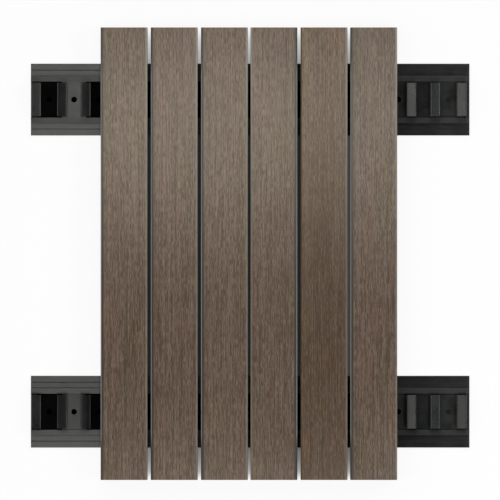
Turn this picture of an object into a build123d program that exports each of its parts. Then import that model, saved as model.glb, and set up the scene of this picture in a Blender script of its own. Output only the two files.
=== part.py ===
import os
from math import copysign, radians, tan

from build123d import *

os.makedirs("parts", exist_ok=True)

# The panel lies on its back: X runs along the rails, Y along the boards, Z out of the wall.
# All sizes are in millimetres.

# Boards: extruded composite slats, grooved down the back
board_count = 6
board_width = 46.85
board_thickness = 24.0
board_length = 452.6
board_gap = 3.15
board_wall = 5.4  # side wall beside the groove
face_radius = 2.6
back_chamfer = 0.8
groove_chamfer = 0.8
lip_thickness = 3.0  # lips that the clip wings hook over
lip_catch = 2.2  # how far each lip reaches in under a wing
lip_chamfer = 0.7
lip_chamfer_angle = 45.0  # degrees
groove_play = 1.0  # sideways room between a wing and the groove wall
groove_headroom = 3.2  # room over the clip ridges
# How far each board has been pushed to one side, as a share of the sideways room
side_shifts = (0.3, 0.5, 0.75, 0.2, 0.4, 0.1)

# Rails: extruded carriers, flat on the wall
spare_clips = 2  # past the boards at each end, the last of them sawn through with the rail
left_saw = 6.7  # left end of the rail, in from the middle of the clip sawn through
right_saw = 3.8
top_inset = 71.85  # board top end to the middle of the upper rail
bottom_inset = 67.95  # board bottom end to the middle of the lower rail
flange_width = 12.15
flange_thickness = 2.4
flange_radius = 0.8
line_inset = 6.5  # fine line in each flange, from the rail's edge
line_width = 0.9
line_depth = 0.5
shoulder_width = 5.75
shoulder_radius = 0.6
shoulder_lip = 1.2  # thickness of the shoulder over a clip's tongue
channel_floor = 1.6

# Clips: moulded pairs of sprung jaws, slid into the rail's channel
jaw_length = 33.6  # along the boards
jaw_seam = 1.3  # gap between a jaw's end and the shoulder
base_thickness = 1.4
base_toe = 3.0  # base past the outside of each leg
tongue_reach = 2.4  # how far the base lies under a shoulder
tongue_clearance = 0.2
clip_floor = 13.8  # between the two legs of a clip
leg_thickness = 2.0
root_chamfer = 0.8  # outside the foot of each leg
ridge_radius = 1.0
wing_thickness = 2.0  # measured upright
wing_slope = 16.0  # degrees
rim_width = 1.4  # flat along the tip of each wing
wing_tip_chamfer = 0.5
wing_clearance = 0.3  # between a wing's tip and the board's lip
hole_diameter = 5.5  # clears a 5 mm screw

# Levels, up from the wall
base_top = channel_floor + base_thickness
slot_top = base_top + tongue_clearance
shoulder_top = slot_top + shoulder_lip
board_back = shoulder_top
lip_top = board_back + lip_thickness
wing_tip_bottom = lip_top + wing_clearance
wing_tip_top = wing_tip_bottom + wing_thickness

# Widths across a board, shared by its groove and the clips in it
groove_width = board_width - 2 * board_wall
wing_span = groove_width - 2 * groove_play
mouth_width = wing_span - 2 * lip_catch
leg_span = clip_floor + 2 * leg_thickness
wing_rise = tan(radians(wing_slope))
rim_start = wing_span / 2 - rim_width
ridge_top = wing_tip_top + wing_rise * (rim_start - clip_floor / 2)
groove_top = ridge_top + groove_headroom

# Widths across a rail
channel_width = jaw_length + 2 * jaw_seam
tongue_width = channel_width + 2 * tongue_reach
slot_width = tongue_width + 2 * tongue_clearance
step_width = channel_width + 2 * shoulder_width
rail_width = step_width + 2 * flange_width

# Places along X: a clip at each board and spare clips past them, with a screw hole at and between clips
pitch = board_width + board_gap
clip_count = board_count + 2 * spare_clips
rail_half = ((clip_count - 1) * pitch - left_saw - right_saw) / 2
first_clip = -rail_half - left_saw
first_board = first_clip + spare_clips * pitch
clip_places = [first_clip + i * pitch for i in range(clip_count)]
hole_places = [x + step for x in clip_places for step in (0, pitch / 2)]
hole_places = [x for x in hole_places if abs(x) < rail_half - hole_diameter]

# Places along Y, at the middle of each rail
rail_places = {"upper": board_length / 2 - top_inset, "lower": bottom_inset - board_length / 2}

from_bottom = (Align.CENTER, Align.MIN)
board_end = Plane(origin=(0, 0, 0), x_dir=(1, 0, 0), z_dir=(0, -1, 0))
rail_end = Plane(origin=(0, 0, 0), x_dir=(0, 1, 0), z_dir=(1, 0, 0))

# Board: rounded face edges, and an undercut groove with a chamfered mouth
with BuildPart() as board:
    with BuildSketch(board_end) as outline:
        with Locations((0, board_back)):
            Rectangle(board_width, board_thickness, align=from_bottom)
        fillet(outline.vertices().group_by(Axis.Y)[-1], face_radius)
        chamfer(outline.vertices().group_by(Axis.Y)[0], back_chamfer)
    extrude(amount=board_length / 2, both=True)
    with BuildSketch(board_end) as groove:
        with Locations((0, lip_top)):
            Rectangle(groove_width, groove_top - lip_top, align=from_bottom)
        chamfer(groove.vertices(), groove_chamfer)
        with Locations((0, board_back)):
            Rectangle(mouth_width, lip_thickness + groove_chamfer, align=from_bottom)
            Trapezoid(mouth_width + 4 * lip_chamfer, 2 * lip_chamfer, lip_chamfer_angle)
    extrude(amount=board_length / 2, both=True, mode=Mode.SUBTRACT)

# Rail: lined flanges, raised shoulders, and an undercut channel between them
with BuildPart() as rail:
    with BuildSketch(rail_end) as section:
        Rectangle(rail_width, flange_thickness, align=from_bottom)
        fillet(section.vertices().group_by(Axis.Y)[-1], flange_radius)
        Rectangle(step_width, shoulder_top, align=from_bottom)
        fillet(section.vertices().group_by(Axis.Y)[-1], shoulder_radius)
        with Locations((0, channel_floor)):
            Rectangle(slot_width, slot_top - channel_floor, align=from_bottom, mode=Mode.SUBTRACT)
            Rectangle(channel_width, shoulder_top, align=from_bottom, mode=Mode.SUBTRACT)
        line_place = rail_width / 2 - line_inset
        with Locations((-line_place, flange_thickness), (line_place, flange_thickness)):
            Rectangle(line_width, 2 * line_depth, mode=Mode.SUBTRACT)
    extrude(amount=rail_half, both=True)
    with Locations([(x, 0, shoulder_top) for x in hole_places]):
        Hole(hole_diameter / 2)

# Clip: a base with a tongue along each side, and two legs with wings that slope out to flat-rimmed tips
with BuildPart() as clip:
    with BuildSketch(board_end) as jaws:
        with BuildLine():
            Polyline(
                (clip_floor / 2, channel_floor),
                (clip_floor / 2, ridge_top),
                (rim_start, wing_tip_top),
                (wing_span / 2, wing_tip_top),
                (wing_span / 2, wing_tip_bottom),
                (rim_start, wing_tip_bottom),
                (leg_span / 2, wing_tip_bottom + wing_rise * (rim_start - leg_span / 2)),
                (leg_span / 2, base_top + root_chamfer),
                (leg_span / 2 + root_chamfer, base_top),
                (leg_span / 2 + root_chamfer, channel_floor),
                close=True,
            )
        make_face()
        fillet(jaws.vertices().sort_by(Axis.Y)[-1], ridge_radius)
        chamfer(jaws.vertices().group_by(Axis.X)[-1], wing_tip_chamfer)
        mirror(about=Plane.YZ)
    extrude(amount=jaw_length / 2, both=True)
    with BuildSketch(Plane.XY.offset(channel_floor)):
        Rectangle(leg_span + 2 * base_toe, tongue_width)
    extrude(amount=base_thickness)
    with Locations((0, 0, base_top)):
        Hole(hole_diameter / 2)

pieces = {}
for i in range(board_count):
    shift = groove_play * side_shifts[i % len(side_shifts)]
    pieces[f"board_{i + 1}"] = board.part.moved(Location((first_board + i * pitch + shift, 0, 0)))
for place, y in rail_places.items():
    pieces[f"{place}_rail"] = rail.part.moved(Location((0, y, 0)))
    for i, x in enumerate(clip_places):
        with BuildPart() as sawn_clip:
            add(clip.part.moved(Location((x, y, 0))))
            if abs(x) + wing_span / 2 > rail_half:
                end = copysign(1, x)
                split(bisect_by=Plane(origin=(end * rail_half, 0, 0), z_dir=(end, 0, 0)), keep=Keep.BOTTOM)
        pieces[f"{place}_clip_{i + 1}"] = sawn_clip.part

for name, piece in pieces.items():
    piece.label = name
    export_step(piece, f"parts/{name}.step")
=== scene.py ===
import math

import bmesh
import bpy
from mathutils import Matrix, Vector, noise


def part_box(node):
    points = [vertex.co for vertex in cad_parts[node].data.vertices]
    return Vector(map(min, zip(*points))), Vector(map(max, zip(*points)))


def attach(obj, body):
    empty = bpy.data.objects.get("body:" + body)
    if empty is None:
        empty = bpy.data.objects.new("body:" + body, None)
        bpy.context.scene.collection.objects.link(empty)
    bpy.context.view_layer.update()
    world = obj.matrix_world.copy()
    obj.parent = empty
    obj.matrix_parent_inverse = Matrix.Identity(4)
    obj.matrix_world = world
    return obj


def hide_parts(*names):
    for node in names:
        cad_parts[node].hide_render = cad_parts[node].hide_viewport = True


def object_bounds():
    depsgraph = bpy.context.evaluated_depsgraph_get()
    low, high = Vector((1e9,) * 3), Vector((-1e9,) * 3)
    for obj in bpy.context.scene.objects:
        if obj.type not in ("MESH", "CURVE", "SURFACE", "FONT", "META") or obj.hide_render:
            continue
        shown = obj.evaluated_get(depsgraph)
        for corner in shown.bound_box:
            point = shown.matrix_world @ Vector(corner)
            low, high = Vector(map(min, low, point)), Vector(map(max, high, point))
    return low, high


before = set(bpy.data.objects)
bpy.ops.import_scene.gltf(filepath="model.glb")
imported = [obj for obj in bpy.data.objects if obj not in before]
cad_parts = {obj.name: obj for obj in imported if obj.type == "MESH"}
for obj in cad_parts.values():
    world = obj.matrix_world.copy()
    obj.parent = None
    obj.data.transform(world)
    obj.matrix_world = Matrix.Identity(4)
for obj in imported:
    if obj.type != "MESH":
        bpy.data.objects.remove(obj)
cadLow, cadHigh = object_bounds()
scene = bpy.context.scene
mm = 0.001
print("scene: frame loaded,", len(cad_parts), "nodes")


# Node helpers shared by all the materials
usualNoise = (0.3, 0.7)  # most of a noise lies between these


def startMaterial(name):
    material = bpy.data.materials.new(name)
    material.use_nodes = True
    tree = material.node_tree
    tree.nodes.clear()
    output = tree.nodes.new("ShaderNodeOutputMaterial")
    surface = tree.nodes.new("ShaderNodeBsdfPrincipled")
    tree.links.new(surface.outputs["BSDF"], output.inputs["Surface"])
    return material, tree, surface


def put(tree, socket, value):
    if isinstance(value, bpy.types.NodeSocket):
        tree.links.new(value, socket)
    else:
        socket.default_value = value


def stretchedNoise(tree, across, along, detail, rough=0.5, shift=(0, 0, 0), grainAxis=1):
    # across and along are the lattice sizes in millimetres, along lies on the grain axis
    place = tree.nodes.new("ShaderNodeTexCoord")
    mapping = tree.nodes.new("ShaderNodeMapping")
    scale = [1 / (across * mm)] * 3
    scale[grainAxis] = 1 / (along * mm)
    mapping.inputs["Scale"].default_value = scale
    mapping.inputs["Location"].default_value = shift
    texture = tree.nodes.new("ShaderNodeTexNoise")
    texture.inputs["Scale"].default_value = 1.0
    texture.inputs["Detail"].default_value = detail
    texture.inputs["Roughness"].default_value = rough
    tree.links.new(place.outputs["Object"], mapping.inputs["Vector"])
    tree.links.new(mapping.outputs["Vector"], texture.inputs["Vector"])
    return texture.outputs["Fac"]


def sums(tree, operation, first, second=0):
    node = tree.nodes.new("ShaderNodeMath")
    node.operation = operation
    put(tree, node.inputs[0], first)
    put(tree, node.inputs[1], second)
    return node.outputs[0]


def ranged(tree, value, low, high, newLow, newHigh, smooth=False):
    node = tree.nodes.new("ShaderNodeMapRange")
    if smooth:
        node.interpolation_type = "SMOOTHSTEP"
    put(tree, node.inputs["Value"], value)
    node.inputs["From Min"].default_value = low
    node.inputs["From Max"].default_value = high
    node.inputs["To Min"].default_value = newLow
    node.inputs["To Max"].default_value = newHigh
    return node.outputs["Result"]


def ramp(tree, value, stops):
    node = tree.nodes.new("ShaderNodeValToRGB")
    points = node.color_ramp.elements
    while len(points) < len(stops):
        points.new(0.5)
    for point, (at, colour) in zip(points, stops):
        point.position = at
        point.color = (*colour, 1)
    tree.links.new(value, node.inputs["Fac"])
    return node.outputs["Color"]


def greys(stops):
    # Plain levels as stops for a ramp
    return [(at, (level, level, level)) for at, level in stops]


def blend(tree, kind, share, first, second):
    node = tree.nodes.new("ShaderNodeMix")
    node.data_type = "RGBA"
    node.blend_type = kind
    put(tree, node.inputs["Factor"], share)
    put(tree, node.inputs["A"], first)
    put(tree, node.inputs["B"], second)
    return node.outputs["Result"]


def objectPlace(tree):
    place = tree.nodes.new("ShaderNodeTexCoord")
    parts = tree.nodes.new("ShaderNodeSeparateXYZ")
    tree.links.new(place.outputs["Object"], parts.inputs["Vector"])
    return parts.outputs


def addBump(tree, surface, height, strength, depth):
    bump = tree.nodes.new("ShaderNodeBump")
    bump.inputs["Strength"].default_value = strength
    bump.inputs["Distance"].default_value = depth * mm
    tree.links.new(height, bump.inputs["Height"])
    tree.links.new(bump.outputs["Normal"], surface.inputs["Normal"])


# Brushed composite, one material for each board
# Lattice sizes of its grain in millimetres, across and along the board
boardGrain = {
    "fine": {"across": 0.45, "along": 6.0, "detail": 2, "rough": 0.6},
    "fibre": {"across": 0.55, "along": 16, "detail": 1, "shift": (1, 6, 3)},
    "long": {"across": 0.9, "along": 150, "detail": 1, "shift": (7, 3, 1)},
    "patch": {"across": 16, "along": 130, "detail": 1, "shift": (2, 9, 4)},
    "stain": {"across": 9, "along": 45, "detail": 2, "shift": (5, 1, 8)},
    "speck": {"across": 0.9, "along": 0.9, "detail": 3, "rough": 0.65, "shift": (4, 4, 4)},
}
boardFinish = {
    "grainWeights": {"fine": 3.1, "fibre": 2.0, "long": 1.05},
    "grain": [
        (0.0, (0.036, 0.0125, 0.0030)),
        (0.5, (0.083, 0.0525, 0.0355)),
        (1.0, (0.1635, 0.1195, 0.0925)),
    ],
    "patch": [(0.36, (0.96, 1.0, 0.90)), (0.50, (1, 1, 1)), (0.64, (1.04, 0.97, 0.97))],  # olive to rose
    "stain": [(0.50, (1, 1, 1)), (0.68, (1.08, 1.0, 0.85))],  # amber
    "toneAlong": [(0.07, 0.70), (0.26, 1.0), (0.68, 1.0), (0.94, 0.1)],  # from the bottom end to the top
    "side": (0.056, 0.037, 0.026),
    "sideShare": 0.6,
    "brushedTo": 2.2,  # down the rounded edge from the face
    "sideFrom": 3.4,
    "core": [
        (0.35, (0.0825, 0.0616, 0.0473)),
        (0.55, (0.150, 0.112, 0.086)),
        (0.75, (0.1635, 0.1195, 0.0925)),
    ],
    "coreFrom": 0.30,  # in from the sawn end
    "coreTo": 0.05,
    "roughness": 0.45,
    "roughSwing": 0.06,
    "grainSpread": 0.8,
    "specular": 1.0,
    "bumpStrength": 0.35,
    "bumpDepth": 0.25,
}
# Painted shade as a dark band, with a painted highlight as a pale outer line, along one front edge, and a
# painted highlight as a paler band along the other
# Each is full from the edge to its start and gone at its end, in millimetres
edgeBands = {
    "skin": {"colour": (0.016, 0.013, 0.011), "start": 1.8, "end": 4.2, "share": 0.97},
    # Painted highlight: a pale line at the outer edge of the painted shade
    "skinLine": {
        "colour": (0.290, 0.287, 0.290),
        "start": 0.7,
        "end": 1.1,
        "share": 0.90,
        "reach": (180, 196),  # fades out above and below, about where the rails end
    },
    # Painted highlight: a paler band along the other front edge, stronger towards the top
    "rubbedEdge": {
        "colour": (0.360, 0.338, 0.300),
        "start": 0.5,
        "end": 2.6,
        "share": 0.76,
        "strongerAlong": (20, 190),  # grows towards the top
        "weakestHighlight": 0.42,
    },
}
# Sides of the painted shade and the painted highlight along each board's front edges, -1 left and 1 right
plainBoard = {"tone": (1, 1, 1), "sheen": (1.0, 0.90, 0.79), "amber": 0.35, "shadedSide": -1, "highlightSide": 1}
boardTints = {
    "board_1": plainBoard,
    "board_2": {**plainBoard, "amber": 0.45},
    "board_3": plainBoard,
    "board_4": {**plainBoard, "shadedSide": 1, "highlightSide": -1},
    "board_5": {
        **plainBoard,
        "tone": (0.72, 0.65, 0.56),
        "sheen": (0.97, 0.86, 0.72),
        "amber": 1.0,
        "shadedSide": None,
    },
    "board_6": plainBoard,
}


def compositeMaterial(node):
    look, tint = boardFinish, boardTints[node]
    low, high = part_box(node)
    material, tree, surface = startMaterial("composite_" + node[-1])
    layers = {name: stretchedNoise(tree, **sizes) for name, sizes in boardGrain.items()}
    x, y, z = objectPlace(tree)
    grain = 0.5
    for name, weight in look["grainWeights"].items():
        swing = sums(tree, "MULTIPLY", sums(tree, "SUBTRACT", layers[name], 0.5), weight)
        grain = sums(tree, "ADD", swing, grain)
    colour = ramp(tree, grain, look["grain"])
    colour = blend(tree, "MULTIPLY", 1.0, colour, ramp(tree, layers["patch"], look["patch"]))
    colour = blend(tree, "MULTIPLY", tint["amber"], colour, ramp(tree, layers["stain"], look["stain"]))
    toned = ramp(tree, ranged(tree, y, low.y, high.y, 0, 1), greys(look["toneAlong"]))
    colour = blend(tree, "MULTIPLY", toned, colour, (*tint["tone"], 1))

    # Sides and back keep the smoother, darker skin of the extrusion
    sideTop, brushedBottom = high.z - look["sideFrom"] * mm, high.z - look["brushedTo"] * mm
    brushed = ranged(tree, z, sideTop, brushedBottom, 0, 1, smooth=True)
    plain = ranged(tree, brushed, 0, 1, look["sideShare"], 0)
    colour = blend(tree, "MIX", plain, colour, (*look["side"], 1))

    away = sums(tree, "ABSOLUTE", y)
    # Painted shade and painted highlights along the front edges
    bandsAt = {tint["shadedSide"]: ["skin", "skinLine"], tint["highlightSide"]: ["rubbedEdge"]}
    for side, edge in ((-1, low.x), (1, high.x)):
        inset = sums(tree, "ABSOLUTE", sums(tree, "SUBTRACT", x, edge))
        for name in bandsAt.get(side, []):
            band = edgeBands[name]
            cover = ranged(tree, inset, band["start"] * mm, band["end"] * mm, band["share"], 0, smooth=True)
            cover = sums(tree, "MULTIPLY", cover, brushed)
            if "reach" in band:
                full, gone = band["reach"]
                along = ranged(tree, away, full * mm, gone * mm, 1, 0)
                cover = sums(tree, "MULTIPLY", cover, along)
            if "strongerAlong" in band:
                start, end = band["strongerAlong"]
                along = ranged(tree, y, start * mm, end * mm, band["weakestHighlight"], 1)
                cover = sums(tree, "MULTIPLY", cover, along)
            colour = blend(tree, "MIX", cover, colour, (*band["colour"], 1))

    # Sawn ends show a paler speckled core
    ending = ranged(tree, away, high.y - look["coreFrom"] * mm, high.y - look["coreTo"] * mm, 0, 1)
    colour = blend(tree, "MIX", ending, colour, ramp(tree, layers["speck"], look["core"]))
    put(tree, surface.inputs["Base Color"], colour)

    smoothest, roughest = look["roughness"] - look["roughSwing"], look["roughness"] + look["roughSwing"]
    put(tree, surface.inputs["Roughness"], ranged(tree, layers["fine"], *usualNoise, roughest, smoothest))
    surface.inputs["Specular IOR Level"].default_value = look["specular"]
    surface.inputs["Specular Tint"].default_value = (*tint["sheen"], 1)
    surface.inputs["Anisotropic"].default_value = look["grainSpread"]
    tangent = tree.nodes.new("ShaderNodeTangent")
    tangent.direction_type = "UV_MAP"
    tangent.uv_map = "face"
    tree.links.new(tangent.outputs["Tangent"], surface.inputs["Tangent"])
    addBump(tree, surface, layers["fine"], look["bumpStrength"], look["bumpDepth"])
    return material


# Boards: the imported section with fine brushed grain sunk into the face
# Sizes in millimetres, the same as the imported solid's
boardShape = {
    "faceRadius": 2.6,
    "arrisSteps": 8,
    "faceColumns": 72,
    "rows": 118,
    "backChamfer": 0.8,
    "grooveHalf": 18.025,
    "mouthHalf": 14.825,
    "lipChamfer": 0.7,
    "lipTop": 7.4,
    "grooveTop": 15.395,
    "grooveChamfer": 0.8,
    "endEase": 0.15,
    "sharpAngle": 35,  # degrees
}
boardBrushing = {
    "depth": 0.10,
    "middle": 0.5,
    "layers": [
        {"across": 1.5, "along": 22, "level": 0.5, "share": 0.55},
        {"across": 4.5, "along": 60, "level": 7.5, "share": 0.35},
    ],
}


def boardSection(low, high):
    sizes = boardShape
    half = (high.x - low.x) / 2 / mm
    back, front = low.z / mm, high.z / mm
    radius, steps, columns = sizes["faceRadius"], sizes["arrisSteps"], sizes["faceColumns"]
    left = [(-half, back + sizes["backChamfer"])]
    for i in range(steps):
        angle = math.pi / 2 * i / steps
        left.append((-half + radius - radius * math.cos(angle), front - radius + radius * math.sin(angle)))
    inner = half - radius
    face = [(-inner + 2 * inner * i / columns, front) for i in range(columns + 1)]
    right = [(-x, z) for x, z in reversed(left)]
    mouth, groove, bevel = sizes["mouthHalf"], sizes["grooveHalf"], sizes["grooveChamfer"]
    hollow = [
        (half - sizes["backChamfer"], back),
        (mouth + sizes["lipChamfer"], back),
        (mouth, back + sizes["lipChamfer"]),
        (mouth, sizes["lipTop"]),
        (groove - bevel, sizes["lipTop"]),
        (groove, sizes["lipTop"] + bevel),
        (groove, sizes["grooveTop"] - bevel),
        (groove - bevel, sizes["grooveTop"]),
    ]
    hollow += [(-x, z) for x, z in reversed(hollow)]
    return left + face + right + hollow, len(left), len(left) + columns + 1


def brushDepth(x, y):
    deep = boardBrushing["middle"]
    for layer in boardBrushing["layers"]:
        place = Vector((x / layer["across"], y / layer["along"], layer["level"]))
        deep += layer["share"] * noise.noise(place)
    return boardBrushing["depth"] * max(0.0, deep)


def shrunk(section, by):
    # Each point moves in along the middle of its corner, for the eased edge round a sawn end
    points = [Vector(point) for point in section]
    moved = []
    for before, point, after in zip(points[-1:] + points[:-1], points, points[1:] + points[:1]):
        into, out = (point - before).normalized(), (after - point).normalized()
        inward = Vector((into.y + out.y, -into.x - out.x))
        moved.append(point + inward * (by / (1 + into.dot(out))))
    return moved


def makeBoard(node):
    low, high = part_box(node)
    middle = (low.x + high.x) / 2
    section, faceStart, faceEnd = boardSection(low, high)
    rows, ease = boardShape["rows"], boardShape["endEase"]
    count = len(section)
    mesh = bpy.data.meshes.new(node + "_brushed")
    shape = bmesh.new()
    first, last = low.y + ease * mm, high.y - ease * mm
    places = [first + (last - first) * row / rows for row in range(rows + 1)]
    rings = []
    for y in [low.y, *places, high.y]:
        outline = section if first <= y <= last else shrunk(section, ease)
        ring = []
        for i, (x, z) in enumerate(outline):
            drop = 0.0
            if faceStart < i < faceEnd - 1:
                drop = brushDepth(middle / mm + x, y / mm)
            ring.append(shape.verts.new((middle + x * mm, y, (z - drop) * mm)))
        rings.append(ring)
    for a, b in zip(rings, rings[1:]):
        for i in range(count):
            j = (i + 1) % count
            shape.faces.new((a[i], a[j], b[j], b[i]))
    shape.faces.new(list(reversed(rings[0])))
    shape.faces.new(rings[-1])
    bmesh.ops.recalc_face_normals(shape, faces=shape.faces)
    uvs = shape.loops.layers.uv.new("face")
    for face in shape.faces:
        for loop in face.loops:
            loop[uvs].uv = loop.vert.co.xy
    shape.to_mesh(mesh)
    shape.free()
    mesh.polygons.foreach_set("use_smooth", [True] * len(mesh.polygons))
    mesh.set_sharp_from_angle(angle=math.radians(boardShape["sharpAngle"]))
    piece = bpy.data.objects.new(node + "_brushed", mesh)
    scene.collection.objects.link(piece)
    mesh.materials.append(compositeMaterial(node))
    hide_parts(node)
    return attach(piece, "root")


for node in boardTints:
    makeBoard(node)
boards = [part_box(node) for node in boardTints]
boardsLow, boardsHigh = boards[0][0], boards[-1][1]
print("scene: boards brushed")


# Black plastic of the rails and clips
# The rails are handled smooth at their free ends, and stay matt behind the boards
railColour = (0.0045, 0.0049, 0.0043)
railLooks = {
    "satin": {"colour": railColour, "roughness": 0.33, "matt": 0.80, "specular": 0.77, "spread": 0.87},
    # Painted shade: the channel floor between the clips is darker and duller than the rest
    "shadedRecess": {
        "colour": (0.0012, 0.0012, 0.0013),
        "roughness": 0.90,
        "specular": 0.04,
        "paintedLight": (0.036, 0.037, 0.036),  # painted light, paler in the recesses at the right end
        "paintedLightFrom": 130,
        "paintedLightTo": 140,
    },
    "line": {"colour": railColour, "roughness": 0.45, "matt": 0.80, "specular": 0.50, "spread": 0.60},
    "shoulder": {"colour": railColour, "roughness": 0.47, "matt": 0.80, "specular": 0.85, "spread": 0.87},
}
clipLooks = {
    "satin": {"colour": (0.0030, 0.0031, 0.0034), "roughness": 0.32, "specular": 0.61, "spread": 0.80},
}
blackGrain = {
    "lines": {"across": 0.7, "along": 45, "detail": 2, "grainAxis": 0},
    "cloud": {"across": 14, "along": 14, "detail": 3, "rough": 0.55, "shift": (3, 1, 2)},
    "fleck": {"across": 1.1, "along": 1.1, "detail": 2, "rough": 0.6, "shift": (6, 2, 9)},
}
blackSkin = {
    "cloudStops": (0.35, 0.70),
    "pale": 1.5,  # times the colour, where the skin is cloudy
    "lift": 0.0012,
    "fleck": (0.022, 0.021, 0.019),
    "fleckStops": (0.66, 0.78),
    "fleckShare": 0.35,
    "paintedLightStops": (0.30, 0.55),
    "faintestPaintedLight": 0.5,
    "lineSwing": 0.04,
    "cloudSwing": 0.03,
    "mattFade": 3,
    "bumpStrength": 0.12,
    "bumpDepth": 0.05,
}


def blackMaterial(name, look):
    material, tree, surface = startMaterial(name)
    lines, cloud, fleck = [stretchedNoise(tree, **sizes) for sizes in blackGrain.values()]
    x, y, z = objectPlace(tree)
    pale = tuple(blackSkin["pale"] * c + blackSkin["lift"] for c in look["colour"])
    tone = ramp(tree, cloud, list(zip(blackSkin["cloudStops"], (look["colour"], pale))))
    flecks = ranged(tree, fleck, *blackSkin["fleckStops"], 0, blackSkin["fleckShare"])
    tone = blend(tree, "MIX", flecks, tone, (*blackSkin["fleck"], 1))
    # Painted light: the recess floor gets paler at the right end, in patches
    if "paintedLight" in look:
        paintedLit = ranged(tree, x, look["paintedLightFrom"] * mm, look["paintedLightTo"] * mm, 0, 1)
        paintedLitPatches = ranged(tree, cloud, *blackSkin["paintedLightStops"], blackSkin["faintestPaintedLight"], 1)
        paintedLit = sums(tree, "MULTIPLY", paintedLit, paintedLitPatches)
        tone = blend(tree, "MIX", paintedLit, tone, (*look["paintedLight"], 1))
    put(tree, surface.inputs["Base Color"], tone)

    base, lineSwing, cloudSwing = look["roughness"], blackSkin["lineSwing"], blackSkin["cloudSwing"]
    rough = sums(tree, "ADD", ranged(tree, lines, *usualNoise, base - lineSwing, base + lineSwing),
                 ranged(tree, cloud, *usualNoise, -cloudSwing, cloudSwing))
    if "matt" in look:
        half = (boardsHigh.x - boardsLow.x) / 2
        out = sums(tree, "ABSOLUTE", sums(tree, "SUBTRACT", x, boardsLow.x + half))
        rough = sums(tree, "ADD", rough,
                     ranged(tree, out, half - blackSkin["mattFade"] * mm, half, look["matt"] - base, 0))
    put(tree, surface.inputs["Roughness"], rough)
    surface.inputs["Specular IOR Level"].default_value = look["specular"]
    if "spread" in look:
        # Drawing lines run along the rail, so the sheen spreads across it
        surface.inputs["Anisotropic"].default_value = look["spread"]
        across = tree.nodes.new("ShaderNodeCombineXYZ")
        across.inputs["Y"].default_value = 1.0
        tree.links.new(across.outputs["Vector"], surface.inputs["Tangent"])
    addBump(tree, surface, sums(tree, "ADD", lines, fleck), blackSkin["bumpStrength"], blackSkin["bumpDepth"])
    return material


railMaterials = {name: blackMaterial("rail_black_" + name, look) for name, look in railLooks.items()}
clipMaterials = {name: blackMaterial("clip_black_" + name, look) for name, look in clipLooks.items()}


# Rails and clips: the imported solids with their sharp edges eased
easing = {"width": 0.22, "steps": 2, "angle": 40, "weld": 0.002, "flat": 0.5}


def easedCopy(node, materials, pick):
    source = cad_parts[node]
    shape = bmesh.new()
    shape.from_mesh(source.data)
    bmesh.ops.remove_doubles(shape, verts=shape.verts, dist=easing["weld"] * mm)
    bmesh.ops.dissolve_limit(shape, angle_limit=math.radians(easing["flat"]), verts=shape.verts,
                             edges=shape.edges)
    turn = math.radians(easing["angle"])
    sharp = [edge for edge in shape.edges if len(edge.link_faces) == 2 and edge.calc_face_angle(0) > turn]
    bmesh.ops.bevel(shape, geom=sharp, offset=easing["width"] * mm, offset_type="OFFSET",
                    segments=easing["steps"], profile=0.5, affect="EDGES", clamp_overlap=True)
    for face in shape.faces:
        face.smooth = True
        face.material_index = list(materials).index(pick(face))
    mesh = bpy.data.meshes.new(node + "_eased")
    shape.to_mesh(mesh)
    shape.free()
    # Weighted by area, so that flats stay flat and the eased edges turn between them
    turns = [Vector() for vertex in mesh.vertices]
    for face in mesh.polygons:
        for i in face.vertices:
            turns[i] += face.area * face.normal
    mesh.normals_split_custom_set_from_vertices([turn.normalized() for turn in turns])
    for material in materials.values():
        mesh.materials.append(material)
    piece = bpy.data.objects.new(node + "_eased", mesh)
    scene.collection.objects.link(piece)
    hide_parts(node)
    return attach(piece, "root")


# Where the rail's finishes change, in millimetres from its middle and up from the wall
channel = {"half": 18.15, "top": 3.4}
shoulder = {"half": 23.7, "bottom": 4.0}
flangeLine = {"inset": 6.5, "half": 0.50, "top": 2.35}


def railPick(node):
    low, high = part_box(node)
    middle = (low.y + high.y) / 2

    def pick(face):
        centre = face.calc_center_median()
        across = abs(centre.y - middle)
        toLine = abs(across - (high.y - middle) + flangeLine["inset"] * mm)
        if across < channel["half"] * mm and centre.z < channel["top"] * mm:
            return "shadedRecess"
        if toLine < flangeLine["half"] * mm and centre.z < flangeLine["top"] * mm:
            return "line"
        if across < shoulder["half"] * mm and centre.z > shoulder["bottom"] * mm:
            return "shoulder"
        return "satin"

    return pick


for node in sorted(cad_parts):
    if node.endswith("_rail"):
        easedCopy(node, railMaterials, railPick(node))
    elif "_clip_" in node:
        easedCopy(node, clipMaterials, lambda face: "satin")
print("scene: rails and clips eased")


# Stage: a white floor, with painted shade under the panel where its glow fades and the lamps' own shade shows
# The fades give how white the floor stays, from the boards' edge on in to their reach in millimetres
stageLook = {
    "floor": (0.94, 0.94, 0.94),
    "roughness": 0.9,
    "floorLevel": -0.6,
    "floorHalf": 60.0,  # metres
    "sideFade": {"reach": 10, "stops": [(0.0, 0.90), (1.0, 0.0)]},
    "topFade": {"reach": 80, "stops": [(0.0, 0.90), (0.16, 0.54), (0.35, 0.37), (0.45, 0.30), (0.9, 0.0)]},
    "bottomFade": {"reach": 80, "stops": [(0.0, 0.90), (0.10, 0.36), (0.25, 0.18), (0.45, 0.10), (0.9, 0.0)]},
    "shade": (0.01, 0.01, 0.01),
    "shadeLevel": -0.3,
    "shadeLap": 1.5,  # under the boards beside a gap, and in from the rails' edges
    "middleGaps": 0.016,  # glow of the floor at each of these places
    "lastGap": 0.050,
    "leftHoles": 0.0,
    "rightHoles": 0.014,
    "rightFrom": 160,  # where the right end's holes start, along the rails
}


def sheetPlane(name, corners, height, material):
    mesh = bpy.data.meshes.new(name)
    points, faces = [], []
    for left, bottom, right, top in corners:
        faces.append([len(points) + i for i in range(4)])
        points += [(left, bottom, height), (right, bottom, height), (right, top, height), (left, top, height)]
    mesh.from_pydata(points, [], faces)
    mesh.materials.append(material)
    piece = bpy.data.objects.new(name, mesh)
    scene.collection.objects.link(piece)
    return piece


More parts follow.
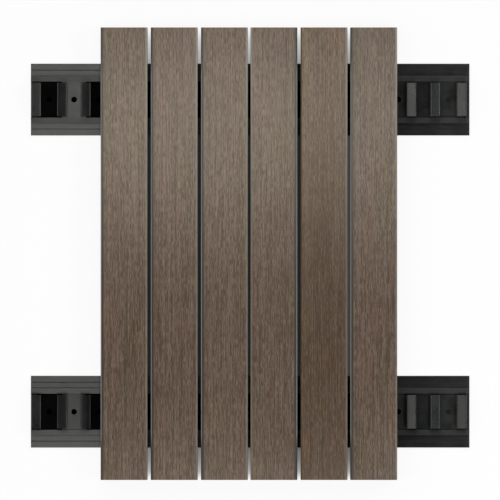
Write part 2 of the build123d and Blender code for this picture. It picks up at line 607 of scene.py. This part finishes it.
def stageMaterial(name, colour, glow, makeShare=None):
    # Seen by the camera and in reflections, the sheet glows by its share, and the rest is lit by the lamps
    material, tree, surface = startMaterial(name)
    surface.inputs["Base Color"].default_value = (*colour, 1)
    surface.inputs["Roughness"].default_value = stageLook["roughness"]
    surface.inputs["Specular IOR Level"].default_value = 0.0
    rays = tree.nodes.new("ShaderNodeLightPath")
    seen = sums(tree, "MAXIMUM", rays.outputs["Is Camera Ray"], rays.outputs["Is Glossy Ray"])
    seen = sums(tree, "MAXIMUM", seen, rays.outputs["Is Transmission Ray"])
    if makeShare:
        seen = sums(tree, "MULTIPLY", seen, makeShare(tree))
    shine = tree.nodes.new("ShaderNodeEmission")
    shine.inputs["Strength"].default_value = glow
    mix = tree.nodes.new("ShaderNodeMixShader")
    tree.links.new(seen, mix.inputs["Fac"])
    tree.links.new(surface.outputs["BSDF"], mix.inputs[1])
    tree.links.new(shine.outputs["Emission"], mix.inputs[2])
    output = [n for n in tree.nodes if n.type == "OUTPUT_MATERIAL"][0]
    tree.links.new(mix.outputs["Shader"], output.inputs["Surface"])
    return material


def floorShare(tree):
    x, y, z = objectPlace(tree)
    fromLeft = sums(tree, "SUBTRACT", x, boardsLow.x)
    fromRight = sums(tree, "SUBTRACT", boardsHigh.x, x)
    depths = {
        "sideFade": sums(tree, "MINIMUM", fromLeft, fromRight),
        "topFade": sums(tree, "SUBTRACT", boardsHigh.y, y),
        "bottomFade": sums(tree, "SUBTRACT", y, boardsLow.y),
    }
    share = 0.0
    for name, depth in depths.items():
        fade = stageLook[name]
        part = ramp(tree, sums(tree, "DIVIDE", depth, fade["reach"] * mm), greys(fade["stops"]))
        share = sums(tree, "MAXIMUM", part, share)
    return share


floorHalf = stageLook["floorHalf"]
floorWhite = stageMaterial("stage_white", stageLook["floor"], 1.0, floorShare)
floorCorners = [(-floorHalf, -floorHalf, floorHalf, floorHalf)]
sheetPlane("stageFloor", floorCorners, stageLook["floorLevel"] * mm, floorWhite)

# Painted shade: dark sheets on the floor behind the gaps between the rails, and behind the screw holes
rails = [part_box("upper_rail"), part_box("lower_rail")]
upperEdge, lowerEdge = rails[0][0].y, rails[1][1].y
lap, rightFrom = stageLook["shadeLap"] * mm, stageLook["rightFrom"] * mm
gaps = []
for (low, high), (nextLow, nextHigh) in zip(boards, boards[1:]):
    gaps.append((high.x - lap, lowerEdge, nextLow.x + lap, upperEdge))
shades = {
    "middleGaps": gaps[:-1],
    "lastGap": gaps[-1:],
    "leftHoles": [(low.x + lap, low.y + lap, rightFrom, high.y - lap) for low, high in rails],
    "rightHoles": [(rightFrom, low.y + lap, high.x - lap, high.y - lap) for low, high in rails],
}
for place, corners in shades.items():
    shade = stageMaterial("stage_" + place, stageLook["shade"], stageLook[place])
    sheetPlane("stage_" + place, corners, stageLook["shadeLevel"] * mm, shade)
print("scene: stage laid")


# Light: overhead strips left and right of the panel, boxes out to both sides, and a low box at the top
warm, cool, neutral = (1.0, 1.0, 0.95), (0.95, 1.0, 0.99), (1.0, 1.0, 1.0)
lamps = {
    "upperLeftStrip": {"place": (-0.135, 0.142, 0.55), "size": (0.39, 0.18), "level": 3.8, "tint": warm},
    "lowerLeftStrip": {"place": (-0.180, -0.39, 0.55), "size": (0.30, 0.22), "level": 5.3, "tint": warm},
    "upperRightStrip": {"place": (0.375, 0.142, 0.55), "size": (0.17, 0.18), "level": 6.2, "tint": cool},
    "lowerRightStrip": {"place": (0.375, -0.39, 0.55), "size": (0.17, 0.22), "level": 8.7, "tint": cool},
    "rightSides": {"place": (2.0, 0.7, 1.5), "size": (0.9, 0.9), "level": 5.8, "tint": neutral},
    "leftSides": {"place": (-2.0, 0.7, 1.5), "size": (0.9, 0.9), "level": 4.5, "tint": neutral},
    "topBox": {"place": (0.0, 1.2, 0.70), "size": (1.2, 0.35), "level": 3.5, "tint": neutral},
}
nearShare = 0.40  # of the side boxes at the top, for those at the bottom
worldLevel = 0.05


def addLamp(name, lamp):
    light = bpy.data.lights.new(name, "AREA")
    light.shape = "RECTANGLE"
    light.size, light.size_y = lamp["size"]
    # The level is the lamp's brightness, whatever its size
    light.energy = lamp["level"] * math.pi * light.size * light.size_y
    light.color = lamp["tint"]
    item = bpy.data.objects.new(name, light)
    item.location = lamp["place"]
    # Strips face straight down, the boxes turn to the panel
    if not name.endswith("Strip"):
        item.rotation_euler = (-item.location).to_track_quat("-Z", "Y").to_euler()
    item.visible_camera = False
    scene.collection.objects.link(item)


for name, lamp in lamps.items():
    addLamp(name, lamp)
    if name.endswith("Sides"):
        x, y, z = lamp["place"]
        near = {**lamp, "place": (x, -y, z), "level": nearShare * lamp["level"]}
        addLamp(name + "Near", near)
world = bpy.data.worlds.new("studio")
world.use_nodes = True
background = world.node_tree.nodes["Background"]
background.inputs["Color"].default_value = (1, 1, 1, 1)
background.inputs["Strength"].default_value = worldLevel
scene.world = world
print("scene: lamps set")


# Camera: square on to the board faces, far off, with half a metre across the picture
viewing = {"distance": 12.0, "span": 0.5, "aim": (-0.15, 3.7), "sensor": 36.0, "far": 100}
camera = bpy.data.cameras.new("camera")
camera.sensor_width = viewing["sensor"]
camera.lens = camera.sensor_width * viewing["distance"] / viewing["span"]
camera.clip_end = viewing["far"]
eye = bpy.data.objects.new("camera", camera)
eye.location = (viewing["aim"][0] * mm, viewing["aim"][1] * mm, cadHigh.z + viewing["distance"])
scene.collection.objects.link(eye)
scene.camera = eye
scene.view_settings.view_transform = "Standard"
print("scene: camera set")
